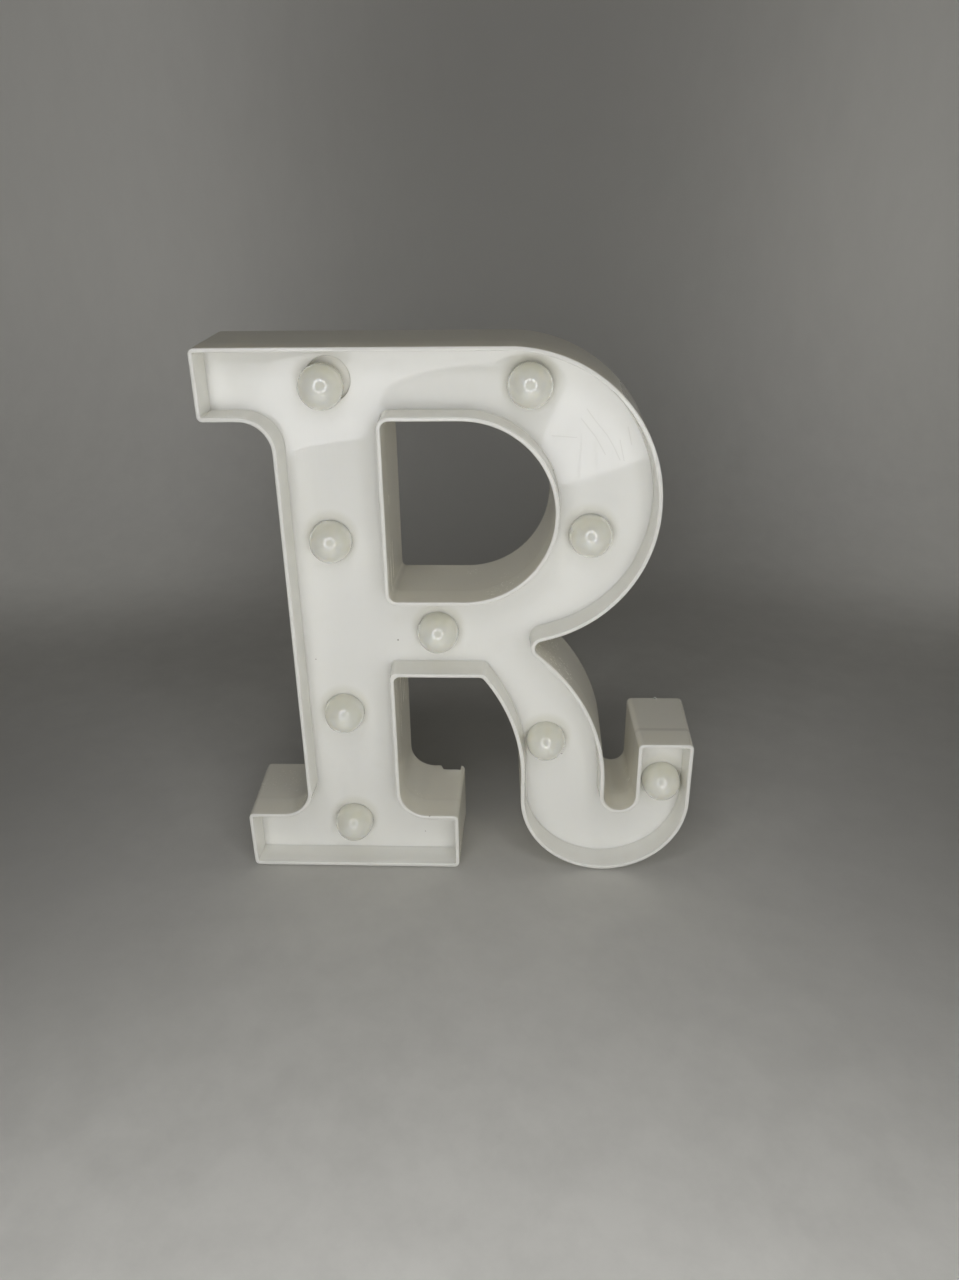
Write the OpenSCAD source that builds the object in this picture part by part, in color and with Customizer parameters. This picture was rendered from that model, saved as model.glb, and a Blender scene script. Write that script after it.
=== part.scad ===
// Battery-powered light-up letter: a hollow moulded slab-serif letter whose
// recessed face carries nine round bulb caps, with a screwed back cover, a
// hinged battery door, a slide switch and an internal wire harness.
// Frame: +X right, +Z up, front faces -Y. The foot stands on z = 0.

/* [Letter outline] */
// Height of the front outline, foot to top bar
letter_h = 220; // [219:0.5:222]
// Left edge of the foot (x)
foot_left = -93.8; // [-95:0.1:-92]
// Right edge of the foot (x)
foot_right = -3.4; // [-5:0.1:-2]
// Height of the foot
foot_h = 26.6; // [25:0.1:28]
// Left edge of the stem (x)
stem_left = -67.2; // [-68:0.1:-66]
// Right edge of the stem (x)
stem_right = -27.9; // [-28.5:0.1:-27]
// Left edge of the top serif (x)
serif_left = -93.2; // [-95:0.1:-92]
// Underside of the top serif and of the top bar (z)
bar_under = 194.5; // [194:0.5:195.5]
// Radius of the brackets between stem and serifs
bracket_r = 11.5; // [9:0.5:13]
// Radius of the small outer corners
corner_r = 2.2; // [2.1:0.1:3]
// Right edge of the bowl (x)
bowl_right = 73.8; // [73.5:0.1:74.5]
// Radius of the bowl's upper outer arc
bowl_r = 56.3; // [55:0.1:56.4]
// Lower edge of the counter (z)
counter_low = 125.5; // [125:0.5:126]
// Right edge of the counter (x)
counter_right = 35; // [34:0.5:36]
// Underside of the crossbar (z)
crossbar_under = 93.1; // [92.6:0.1:93.6]
// Right edge of the tail (x)
tail_right = 93.7; // [93.5:0.1:94.2]
// Top of the tail (z)
tail_top = 62.9; // [62:0.1:64]

/* [Shell] */
// Depth of the letter, front rim to back
depth = 39; // [38.5:0.1:39.5]
// Growth of the outline from the front rim to mid depth
draft = 0.5; // [0.3:0.1:0.6]
// Wall thickness
wall = 1.6; // [1.5:0.1:1.8]
// Depth of the face panel behind the rim
recess = 11.4; // [11.2:0.1:11.6]
// Thickness of the face panel
panel_t = 1.8; // [1.6:0.1:2]
// Thickness of the back cover
cover_t = 2; // [2:0.1:2.2]
// Gap round the back cover
cover_gap = 0.25; // [0.2:0.05:0.3]

/* [Bulbs] */
// Radius of a bulb cap
bulb_r = 8.2; // [8:0.05:8.3]
// Radius of a bulb's pocket in the face panel
pocket_r = 8.45; // [8.4:0.05:8.6]
// Wall of a bulb cap
bulb_wall = 1.2; // [1:0.1:1.4]
// Stretch of a bulb cap's dome along its axis
bulb_reach = 1.15; // [1:0.05:1.15]
// Radius of a bulb's neck
neck_r = 4.2; // [4:0.1:4.2]

/* [Battery case] */
// Radius of one cell
cell_r = 7.25; // [7.1:0.05:7.25]
// Distance from the stem's middle to a cell's axis
cell_half = 7.55; // [7.5:0.05:7.6]
// Opening angle at which the door is drawn
door_open = 0; // [0:5:90]

/* [Switch] */
// Travel of the switch knob
knob_travel = 4; // [3:0.5:4]
// Height of the switch above the foot
switch_z = 52; // [51:0.5:53]

/* [Hidden] */

y_front = -depth / 2;
y_back = depth / 2;
y_panel = y_front + recess;             // front face of the face panel
y_panel_back = y_panel + panel_t;
y_cover = y_back - cover_t;             // inner face of the back cover
y_floor = y_panel + 6.7;                // front of a bulb pocket's floor
floor_t = 1.2;
stem_x = (stem_left + stem_right) / 2;

// ---- plane outline with rounded corners ----
function unit(v) = v / norm(v);
function cross2(a, b) = a[0] * b[1] - a[1] * b[0];
// points of the arc of radius p[2] that rounds corner p between a and b
function corner(a, p, b) =
  let (p2 = [p[0], p[1]], d1 = unit(p2 - [a[0], a[1]]), d2 = unit([b[0], b[1]] - p2),
       s = cross2(d1, d2) > 0 ? 1 : -1,
       turn = acos(max(-1, min(1, d1 * d2))),
       r = p[2], t = r * tan(turn / 2),
       start = p2 - d1 * t,
       c = start + s * r * [-d1[1], d1[0]],
       a0 = atan2(start[1] - c[1], start[0] - c[0]),
       n = r < 4 ? 4 : max(4, ceil(turn / 6)))
  [for (i = [0 : n]) c + r * [cos(a0 + s * turn * i / n), sin(a0 + s * turn * i / n)]];
function rounded(q) = let (n = len(q))
  [for (i = [0 : n - 1]) each corner(q[(i + n - 1) % n], q[i], q[(i + 1) % n])];
// parallel outline at distance t, outwards for a counterclockwise list
function parallel(pts, t) = let (n = len(pts))
  [for (i = [0 : n - 1])
    let (a = pts[(i + n - 1) % n], b = pts[i], c = pts[(i + 1) % n],
         d1 = unit(b - a), d2 = unit(c - b),
         n1 = [d1[1], -d1[0]], n2 = [d2[1], -d2[0]])
    b + t * (n1 + n2) / (1 + n1 * n2)];

// radii that round the whole hook and the counter's right end
hook_r = (tail_right - 23.2) / 2 - 0.05;
counter_r = (bar_under - counter_low) / 2 - 0.1;
// corners [x, z, radius] of the front outline, counterclockwise
letter_corners = [
  [foot_left, 0, corner_r], [foot_right, 0, corner_r],
  [foot_right, foot_h, corner_r], [stem_right, foot_h, bracket_r],
  [stem_right, crossbar_under, 2.5], [7.5, crossbar_under, 2.5],
  [23.2, 71.5, 75], [23.2, 0, hook_r], [tail_right, 0, hook_r],
  [tail_right, tail_top, corner_r], [71.3, tail_top, corner_r],
  [71.3, 30.8, 6.6], [58, 30.8, 6.6], [58, 77.5, 77],
  [25, 107.5, 3.2], [bowl_right, 121.2, 54.6],
  [bowl_right, letter_h, bowl_r], [serif_left, letter_h, corner_r],
  [serif_left, bar_under, corner_r], [stem_left, bar_under, bracket_r],
  [stem_left, foot_h, bracket_r], [foot_left, foot_h, corner_r]];
counter_corners = [
  [stem_right, counter_low, 3], [counter_right, counter_low, counter_r],
  [counter_right, bar_under, counter_r], [stem_right, bar_under, 3]];

front_line = [for (p = rounded(letter_corners)) p + [0, draft]];
front_hole = [for (p = rounded(counter_corners)) p + [0, draft]];
outer_line = parallel(front_line, draft);
hole_line = parallel(front_hole, -draft);

// letter-shaped slab between two depths, pulled in by t all round
module slab(t, y0, y1) {
  a = parallel(outer_line, -t);
  b = parallel(hole_line, t);
  na = len(a);
  nb = len(b);
  translate([0, y1, 0]) rotate([90, 0, 0]) linear_extrude(height = y1 - y0)
    polygon(points = concat(a, b),
            paths = [[for (i = [0 : na - 1]) i], [for (i = [0 : nb - 1]) na + i]]);
}
// round bar along Y between two depths
module bar_y(x, z, r, y0, y1) {
  translate([x, y1, z]) rotate([90, 0, 0]) cylinder(h = y1 - y0, r = r, $fn = 48);
}
// box between two corners
module block(a, b) { translate(a) cube(b - a); }

// ---- places on the face and on the back ----
// bulb axes [x, z], forward play
bulb_at = [
  [-47.4, 207.9, 0], [25.4, 205.7, 0.6], [49, 149.6, 0], [-50.6, 147.1, 0],
  [-10.4, 109, 0], [-50.6, 71.8, 0], [33.6, 59.3, 0], [83, 40.1, 0], [-50, 17.1, 0]];
// the top left cap has slipped part-way out of its pocket
slip = [-2.2, -1.6, -2.2];
// cover screw axes [x, z]
screw_at = [[-80, 208], [5, 214], [62, 172], [24, 121], [37, 83], [58, 21],
            [82.5, 57], [-84, 14], [-14, 14], [-59.5, 178]];
keyhole = [-12, 203];

// ---- moulded shell ----
module front_shell() {
  color("white") difference() {
    union() {
      difference() {
        slab(0, y_front, y_back);
        slab(wall, y_front - 1, y_panel);
        slab(wall, y_panel_back, y_back + 1);
      }
      for (b = bulb_at) bar_y(b[0], b[1], pocket_r + 1.3, y_panel + 0.6, y_floor + floor_t);
      for (s = screw_at) bar_y(s[0], s[1], 3.2, y_panel + 0.6, y_cover);
    }
    for (b = bulb_at) {
      bar_y(b[0], b[1], pocket_r, y_panel - 1, y_floor);
      bar_y(b[0], b[1], neck_r + 0.1, y_floor - 1, y_floor + floor_t + 1);
    }
    for (s = screw_at) bar_y(s[0], s[1], 1.25, y_cover - 11, y_cover + 1);
    // pry notch in the back edge of the foot's right top face
    translate([0, 0, foot_h - 3]) linear_extrude(height = 6)
      polygon([[-13.4, y_back + 1], [-12, y_back - 4], [-5.4, y_back - 4], [-5.4, y_back + 1]]);
  }
}

// ---- back cover ----
door_x = [stem_x - 16, stem_x + 16];     // opening for the battery door
door_z = [79.5, 144.2];
hinge_z = 142.5;                         // door hinge axis
hinge_y = y_back - 1.4;
latch_half = 5;
module back_cover() {
  color("whitesmoke") difference() {
    union() {
      slab(wall + cover_gap, y_cover, y_back);
      // hinge ears beside the door's top end
      for (s = [-1, 1]) block([stem_x + s * 17.1 - 1.1, y_cover - 1.4, hinge_z - 2.2],
                              [stem_x + s * 17.1 + 1.1, y_cover + 0.4, hinge_z + 2.6]);
      // staked pegs that hold the switch
      for (s = [-1, 1]) {
        bar_y(stem_x + s * 8.2, switch_z, 0.95, y_cover - 1.2, y_cover + 0.4);
        bar_y(stem_x + s * 8.2, switch_z, 1.6, y_cover - 1.2, y_cover - 0.6);
      }
    }
    // battery opening with a notch for the latch tongue
    block([door_x[0], y_cover - 1, door_z[0]], [door_x[1], y_back + 1, door_z[1]]);
    block([stem_x - latch_half - 0.4, y_cover - 1, 75], [stem_x + latch_half + 0.4, y_back + 1, 80]);
    // hinge pin holes
    translate([door_x[0] - 2, hinge_y, hinge_z]) rotate([0, 90, 0])
      cylinder(h = door_x[1] - door_x[0] + 4, r = 0.75, $fn = 32);
    // switch slot in a shallow finger recess
    block([stem_x - 4.6, y_cover - 1, switch_z - 1.9], [stem_x + 4.6, y_back + 1, switch_z + 1.9]);
    block([stem_x - 6.5, y_back - 0.8, switch_z - 3.4], [stem_x + 6.5, y_back + 1, switch_z + 3.4]);
    // engraved off ring and on bar
    difference() {
      bar_y(stem_x + 11.5, switch_z, 1.9, y_back - 0.3, y_back + 1);
      bar_y(stem_x + 11.5, switch_z, 1.3, y_back - 0.6, y_back + 2);
    }
    block([stem_x - 11.8, y_back - 0.3, switch_z - 1.9], [stem_x - 11.2, y_back + 1, switch_z + 1.9]);
    // keyhole: entry bore and slot above it
    bar_y(keyhole[0], keyhole[1], 4, y_cover - 1, y_back + 1);
    block([keyhole[0] - 1.9, y_cover - 1, keyhole[1]], [keyhole[0] + 1.9, y_back + 1, keyhole[1] + 8]);
    bar_y(keyhole[0], keyhole[1] + 8, 1.9, y_cover - 1, y_back + 1);
    // screw holes with head seats
    for (s = screw_at) {
      bar_y(s[0], s[1], 1.5, y_cover - 1, y_back + 1);
      bar_y(s[0], s[1], 2.7, y_back - 1, y_back + 1);
    }
  }
}

// ---- bulb caps and lamps, axis along -Y from the pocket ----
// profile in (radius, distance in front of the neck end)
sk = y_floor + floor_t - (y_panel + 1.1);   // neck length to the skirt
dome = sk + 2.6;                            // height of the dome's centre
module bulb_body(reach) {
  r1 = bulb_r - bulb_wall;
  rotate([90, 0, 0]) rotate_extrude($fn = 72) polygon(concat(
    [[2.55, 0], [neck_r, 0], [neck_r, sk - 0.5], [bulb_r, sk]],
    [for (i = [0 : 15]) [bulb_r * cos(i * 6), dome + bulb_r * reach * sin(i * 6)]],
    [for (i = [0 : 15]) [r1 * sin(i * 6), dome + r1 * reach * cos(i * 6)]],
    [[r1, sk + 1.4], [2.55, sk + 0.4]]));
}
module bulb(i, reach = bulb_reach, d = [0, 0, 0]) {
  color("ivory") translate([bulb_at[i][0], y_floor + floor_t - bulb_at[i][2], bulb_at[i][1]] + d) bulb_body(reach);
}
// five millimetre lamp that sits in a bulb's neck, with two leads behind,
// set across the harness
module lamp(i, d = [0, 0, 0]) {
  l = left(run, lamp_stop[i]);
  turn = atan2(l[2], -l[0]);
  translate([bulb_at[i][0], y_floor + floor_t - bulb_at[i][2], bulb_at[i][1]] + d) {
    color("lemonchiffon") rotate([90, 0, 0]) {
      cylinder(h = 5.9, r = 2.5, $fn = 32);
      translate([0, 0, 5.9]) intersection() {
        sphere(r = 2.5, $fn = 32);
        cylinder(h = 3, r = 3, $fn = 32);
      }
    }
    color("silver") rotate([0, turn, 0]) for (s = [-1, 1])
      block([s * 1.27 - 0.25, -0.3, -0.25], [s * 1.27 + 0.25, 6, 0.25]);
  }
}
module bulb_top_left() { bulb(0, 1, slip); }
module bulb_top_right() { bulb(1, bulb_reach - 0.03); }
module bulb_bowl() { bulb(2); }
module bulb_stem_upper() { bulb(3); }
module bulb_crossbar() { bulb(4); }
module bulb_stem_lower() { bulb(5); }
module bulb_leg() { bulb(6); }
module bulb_tail() { bulb(7); }
module bulb_foot() { bulb(8); }
module led_top_left() { lamp(0, slip); }
module led_top_right() { lamp(1); }
module led_bowl() { lamp(2); }
module led_stem_upper() { lamp(3); }
module led_crossbar() { lamp(4); }
module led_stem_lower() { lamp(5); }
module led_leg() { lamp(6); }
module led_tail() { lamp(7); }
module led_foot() { lamp(8); }

// ---- fasteners ----
module cover_screws() {
  color("silver") for (s = screw_at) difference() {
    union() {
      bar_y(s[0], s[1], 2.4, y_back - 1, y_back - 0.1);
      bar_y(s[0], s[1], 1.2, y_back - 10, y_back - 0.9);
    }
    for (a = [0, 90]) translate([s[0], 0, s[1]]) rotate([0, a, 0])
      block([-1.4, y_back - 0.6, -0.3], [1.4, y_back + 1, 0.3]);
  }
}

// ---- battery case ----
cell_y = y_cover - 0.5 - cell_r;         // cell axes
tray_in = [stem_x - 15.2, stem_x + 15.2];
tray_z = [82, 139];
module battery_tray() {
  t = 1.2;
  color("gainsboro") difference() {
    block([tray_in[0] - t, cell_y - cell_r - 0.2 - t, tray_z[0] - t],
          [tray_in[1] + t, y_cover - 0.1, tray_z[1] + t]);
    block([tray_in[0], cell_y - cell_r - 0.2, tray_z[0]], [tray_in[1], y_cover + 1, tray_z[1]]);
    // slots that let the contact tags out at both ends
    for (s = [-1, 1]) block([stem_x + s * cell_half - 1.6, cell_y - 3, tray_z[1] - 1],
                            [stem_x + s * cell_half + 1.6, cell_y - 1.6, tray_z[1] + 3]);
  }
}
module battery_door() {
  color("whitesmoke") translate([0, hinge_y, hinge_z]) rotate([door_open, 0, 0])
  translate([0, -hinge_y, -hinge_z]) difference() {
    union() {
      // plate, hinge bead and hinge pins
      block([door_x[0] + 0.3, y_back - 1.8, door_z[0] + 0.3], [door_x[1] - 0.3, y_back, hinge_z]);
      translate([door_x[0] + 0.3, hinge_y, hinge_z]) rotate([0, 90, 0])
        cylinder(h = door_x[1] - door_x[0] - 0.6, r = 1.4, $fn = 48);
      translate([door_x[0] - 1.4, hinge_y, hinge_z]) rotate([0, 90, 0])
        cylinder(h = door_x[1] - door_x[0] + 2.8, r = 0.7, $fn = 32);
      // middle rib that lies between the cells
      block([stem_x - 0.8, y_back - 5, 90], [stem_x + 0.8, y_back - 1.7, 132]);
      // latch tongue with its nose
      block([stem_x - latch_half, y_back - 1.6, 75.4], [stem_x + latch_half, y_back, 82]);
      block([stem_x - latch_half + 1, y_back - 3.1, 75.4], [stem_x + latch_half - 1, y_back - 1.5, 76.8]);
    }
    // slots that free the tongue
    for (s = [-1, 1]) block([stem_x + s * 6 - 0.6, y_back - 3, 79], [stem_x + s * 6 + 0.6, y_back + 1, 90]);
    // grip grooves
    for (i = [0 : 4]) block([stem_x - 4, y_back - 0.4, 77 + i * 1.6], [stem_x + 4, y_back + 1, 77.8 + i * 1.6]);
  }
}
// one cell standing on z = 0, nub on top
module cell() {
  rotate_extrude($fn = 64) polygon([[0, 0], [4.6, 0], [4.6, 0.3], [6.6, 0.3], [cell_r, 0.9],
    [cell_r, 48.6], [6.6, 49.2], [2.75, 49.2], [2.75, 50.3], [2.4, 50.5], [0, 50.5]]);
}
module cell_left() { color("dimgray") translate([stem_x - cell_half, cell_y, 87.5]) cell(); }
module cell_right() { color("dimgray") translate([stem_x + cell_half, cell_y, 133.5]) mirror([0, 0, 1]) cell(); }
module dimple(x, z, up) {
  translate([x, cell_y, z]) mirror([0, 0, up ? 0 : 1]) cylinder(h = 0.5, r1 = 3.2, r2 = 2.2, $fn = 32);
}
module bridge_contact() {
  color("silver") union() {
    block([stem_x - 13, cell_y - 5.5, 82.05], [stem_x + 13, cell_y + 5, 82.4]);
    dimple(stem_x + cell_half, 82.39, true);
  }
}
module end_plate(s) {
  block([stem_x + s * cell_half - 5.4, cell_y - 5.5, 138.6], [stem_x + s * cell_half + 5.4, cell_y + 5, 138.95]);
  block([stem_x + s * cell_half - 1.5, cell_y - 2.5, 138.6], [stem_x + s * cell_half + 1.5, cell_y - 2.15, 143]);
}
module positive_contact() {
  color("silver") union() { end_plate(-1); dimple(stem_x - cell_half, 138.61, false); }
}
module negative_contact() { color("silver") end_plate(1); }

// ---- swept round wire: rings of n sides along a list of points ----
function way(p, i) = let (n = len(p)) unit(p[min(n - 1, i + 1)] - p[max(0, i - 1)]);
function side(d) = let (u = abs(d[1]) < 0.8 ? [0, 1, 0] : [1, 0, 0]) unit(cross(d, u));
module wire(p, r, n = 8) {
  m = len(p);
  pts = [for (i = [0 : m - 1]) let (d = way(p, i), u = side(d), v = cross(d, u))
         for (k = [0 : n - 1]) p[i] + r * (cos(k * 360 / n) * u + sin(k * 360 / n) * v)];
  faces = concat(
    [[for (k = [0 : n - 1]) k]],
    [[for (k = [n - 1 : -1 : 0]) (m - 1) * n + k]],
    [for (i = [0 : m - 2]) for (k = [0 : n - 1]) let (k2 = (k + 1) % n)
      each [[i * n + k, (i + 1) * n + k, (i + 1) * n + k2], [i * n + k, (i + 1) * n + k2, i * n + k2]]]);
  polyhedron(points = pts, faces = faces, convexity = 6);
}
// smooth curve through hand-set points, k steps between neighbours
function knot(a, b, c, d, t) = 0.5 * ((2 * b) + (c - a) * t + (2 * a - 5 * b + 4 * c - d) * t * t
  + (3 * b - a - 3 * c + d) * t * t * t);
function curve(p, k) = let (n = len(p)) concat(
  [for (i = [0 : n - 2]) for (j = [0 : k - 1])
    knot(p[max(0, i - 1)], p[i], p[i + 1], p[min(n - 1, i + 2)], j / k)], [p[n - 1]]);

// coil springs on the negative ends
function coil(r0, r1, h, turns, n) = [for (i = [0 : n])
  let (t = i / n, r = r0 + (r1 - r0) * t) [r * cos(360 * turns * t), r * sin(360 * turns * t), h * t]];
module contact_springs() {
  color("silver") {
    translate([stem_x - cell_half, cell_y, 82.75]) wire(coil(4.2, 2.6, 4.4, 3, 42), 0.3, 8);
    translate([stem_x + cell_half, cell_y, 138.25]) mirror([0, 0, 1]) wire(coil(4.2, 2.6, 4.4, 3, 42), 0.3, 8);
  }
}

// ---- slide switch ----
module switch_housing() {
  color("dimgray") difference() {
    block([stem_x - 6.5, y_cover - 6.6, switch_z - 3], [stem_x + 6.5, y_cover - 0.6, switch_z + 3]);
    block([stem_x - 5.4, y_cover - 4.6, switch_z - 2.2], [stem_x + 5.4, y_cover, switch_z + 2.2]);
  }
}
module switch_frame() {
  color("silver") difference() {
    block([stem_x - 10.5, y_cover - 0.55, switch_z - 3.1], [stem_x + 10.5, y_cover - 0.05, switch_z + 3.1]);
    block([stem_x - 4.6, y_cover - 1, switch_z - 1.9], [stem_x + 4.6, y_cover + 1, switch_z + 1.9]);
    for (s = [-1, 1]) bar_y(stem_x + s * 8.2, switch_z, 1.05, y_cover - 1, y_cover + 1);
  }
}
module switch_knob() {
  c = stem_x + knob_travel / 2;
  color("black") difference() {
    union() {
      block([c - 3, y_cover - 4.3, switch_z - 1.8], [c + 3, y_cover - 1, switch_z + 1.8]);
      block([c - 2, y_cover - 1.1, switch_z - 1.5], [c + 2, y_back - 0.2, switch_z + 1.5]);
    }
    for (i = [-1 : 1]) block([c + i * 1.1 - 0.2, y_back - 0.5, switch_z - 2], [c + i * 1.1 + 0.2, y_back + 1, switch_z + 2]);
  }
}
module switch_terminals() {
  color("silver") for (i = [-1 : 1])
    block([stem_x + i * 4 - 0.25, y_cover - 10, switch_z - 0.8], [stem_x + i * 4 + 0.25, y_cover - 6.6, switch_z + 0.8]);
}

// ---- harness: hand-set route behind the lamps, two wires side by side ----
wy = y_floor + floor_t + 6.7;            // depth of the wires at a lamp
function at(i, d = [0, 0, 0]) = [bulb_at[i][0], wy - bulb_at[i][2], bulb_at[i][1]] + d;
run = [
  at(8), [-54, wy - 2, 38], [-55, 4, 55],
  at(5), [-42.5, 5, 76], [-36.5, 0.5, 78], [-36.5, -3, 84], [-36.5, -3, 112], [-36.5, -3, 136],
  [-36.5, 0.2, 142], [-42.5, 5, 144],
  at(3), [-50, wy, 165], [-49.5, wy - 1, 190],
  at(0, slip), [-30, wy, 207], [-8, wy, 206], [10, wy, 206],
  at(1), [42, wy, 193], [51, wy, 172],
  at(2), [42, wy, 130], [25, wy, 110], [6, wy, 107.5],
  at(4), [-14, wy, 103.5], [-6, wy, 99], [6, wy, 98], [20, wy, 87], [30, wy, 73],
  at(6), [33.5, wy, 42], [39, wy, 24], [50, wy, 11.5], [66, wy, 11.5], [78, wy, 22], at(7)];
// place of each bulb's lamp along the route
lamp_stop = [14, 18, 21, 11, 25, 3, 31, 37, 0];
// direction to the left of the route, in the plane of the letter
function left(p, i) = let (n = len(p), d = p[min(n - 1, i + 1)] - p[max(0, i - 1)]) unit([-d[2], 0, d[0]]);
function beside(p, t) = [for (i = [0 : len(p) - 1]) p[i] + t * left(p, i)];
module red_wire() { color("red") wire(curve(beside(run, 1.27), 2), 0.6); }
module black_wire() { color("black") wire(curve(beside(run, -1.27), 2), 0.6); }
// battery to switch, switch to harness, battery to harness
module switch_lead() {
  color("red") wire(curve([[stem_x - 4, y_cover - 10.7, switch_z], [-54, 7, 53], [-60, 6.5, 57], [-64, 2, 67],
    [-64, -2, 80], [-64, -2.2, 112], [-64, -2, 138], [-62.5, 2.5, 144], [-58, 7, 145.2],
    [stem_x - cell_half, 7.5, 143.8]], 3), 0.6);
}
module red_feed() {
  color("red") wire(curve([[stem_x, y_cover - 10.7, switch_z], [-49.5, 6.9, 49], [-53.5, 6.9, 46.6],
    [-55.7, 5.6, 46.2]], 3), 0.6);
}
module black_feed() {
  color("black") wire(curve([[-40, 7.6, 143.9], [-40.6, 8, 145], [-41.8, 7.4, 145.4], [-42, 6.4, 145.3]], 3), 0.6);
}

front_shell();
back_cover();
bulb_top_left();
bulb_top_right();
bulb_bowl();
bulb_stem_upper();
bulb_crossbar();
bulb_stem_lower();
bulb_leg();
bulb_tail();
bulb_foot();
led_top_left();
led_top_right();
led_bowl();
led_stem_upper();
led_crossbar();
led_stem_lower();
led_leg();
led_tail();
led_foot();
cover_screws();
battery_tray();
battery_door();
cell_left();
cell_right();
bridge_contact();
positive_contact();
negative_contact();
contact_springs();
switch_housing();
switch_frame();
switch_knob();
switch_terminals();
red_wire();
black_wire();
switch_lead();
red_feed();
black_feed();
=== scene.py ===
import math
import bpy
import bmesh
from mathutils import Matrix, Vector, noise
from mathutils.geometry import delaunay_2d_cdt


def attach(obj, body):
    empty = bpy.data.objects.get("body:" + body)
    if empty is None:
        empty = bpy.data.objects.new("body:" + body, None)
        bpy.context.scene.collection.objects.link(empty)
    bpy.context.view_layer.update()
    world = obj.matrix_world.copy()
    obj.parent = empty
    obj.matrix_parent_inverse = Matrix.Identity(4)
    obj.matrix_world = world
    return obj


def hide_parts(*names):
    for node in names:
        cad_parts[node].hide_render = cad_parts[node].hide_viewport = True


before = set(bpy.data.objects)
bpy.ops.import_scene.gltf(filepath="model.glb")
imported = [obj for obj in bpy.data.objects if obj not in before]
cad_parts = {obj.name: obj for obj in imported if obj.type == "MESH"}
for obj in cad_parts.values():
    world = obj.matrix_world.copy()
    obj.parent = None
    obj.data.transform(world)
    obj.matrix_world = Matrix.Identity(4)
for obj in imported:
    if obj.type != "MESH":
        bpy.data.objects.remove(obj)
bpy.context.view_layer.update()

MM = 0.001

# ---------------------------------------------------------------------------
# Outline of the letter, millimetres: corner x, corner z, corner radius
# ---------------------------------------------------------------------------
RISE = 0.5
Y_FRONT, Y_BACK = -19.5, 19.5
Y_PANEL, Y_PANEL_BACK = -8.1, -6.3
Y_FLOOR, FLOOR_T = -1.4, 1.2
LETTER = [
    (-93.8, 0, 2.2), (-3.4, 0, 2.2), (-3.4, 26.6, 2.2), (-27.9, 26.6, 11.5),
    (-27.9, 93.1, 2.5), (7.5, 93.1, 2.5), (23.2, 71.5, 75), (23.2, 0, 35.2),
    (93.7, 0, 35.2), (93.7, 62.9, 2.2), (71.3, 62.9, 2.2), (71.3, 30.8, 6.6),
    (58, 30.8, 6.6), (58, 77.5, 77), (25, 107.5, 3.2), (73.8, 121.2, 54.6),
    (73.8, 220, 56.3), (-93.2, 220, 2.2), (-93.2, 194.5, 2.2), (-67.2, 194.5, 11.5),
    (-67.2, 26.6, 11.5), (-93.8, 26.6, 2.2),
]
COUNTER = [(-27.9, 125.5, 3), (35, 125.5, 34.4), (35, 194.5, 34.4), (-27.9, 194.5, 3)]
BULBS = {
    "top_left": (-47.4, 207.9), "top_right": (25.4, 205.7), "bowl": (49.0, 149.6),
    "stem_upper": (-50.6, 147.1), "crossbar": (-10.4, 109.0), "stem_lower": (-50.6, 71.8),
    "leg": (33.6, 59.3), "tail": (83.0, 40.1), "foot": (-50.0, 17.1),
}
SLIP = {"top_left": (-2.2, -1.6, -2.2), "top_right": (0.0, -0.6, 0.0)}
BOSSES = [(-80, 208), (5, 214), (62, 172), (24, 121), (37, 83), (58, 21), (82.5, 57),
          (-84, 14), (-14, 14), (-59.5, 178)]
NOTCH_EDGE = 2                      # straight that runs left along the top of the foot
NOTCH_X = (-6.0, -6.1, -9.0, -12.0, -13.4)


def parallel(ctrl, t):
    """Corners of the outline grown by t, with radii that keep every curve parallel."""
    n = len(ctrl)
    p = [Vector((c[0], c[1] + RISE)) for c in ctrl]
    d = [(p[(i + 1) % n] - p[i]).normalized() for i in range(n)]
    out = []
    for i in range(n):
        a, b = d[i - 1], d[i]
        na, nb = Vector((a.y, -a.x)), Vector((b.y, -b.x))
        turn = a.x * b.y - a.y * b.x
        q = p[i] + (na + nb) * (t / (1 + na.dot(nb)))
        grow = t if turn > 0 else -t
        r = ctrl[i][2] if ctrl[i][2] < 3 and grow > 0 else max(ctrl[i][2] + grow, 0.3)
        ang = math.copysign(math.acos(max(-1.0, min(1.0, a.dot(b)))), turn)
        out.append((q, r, a, b, ang))
    return out


def sampling(ctrl):
    cs = parallel(ctrl, 0.0)
    arcs = [max(8, math.ceil(math.degrees(abs(c[4])) / (2.5 if c[1] > 20 else 6))) for c in cs]
    runs = []
    for i, (q, r, a, b, ang) in enumerate(cs):
        q2, r2, ang2 = cs[(i + 1) % len(cs)][0], cs[(i + 1) % len(cs)][1], cs[(i + 1) % len(cs)][4]
        length = (q2 - q).length - r * math.tan(abs(ang) / 2) - r2 * math.tan(abs(ang2) / 2)
        runs.append(max(1, math.ceil(length / 4.0)))
    return arcs, runs


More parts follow.
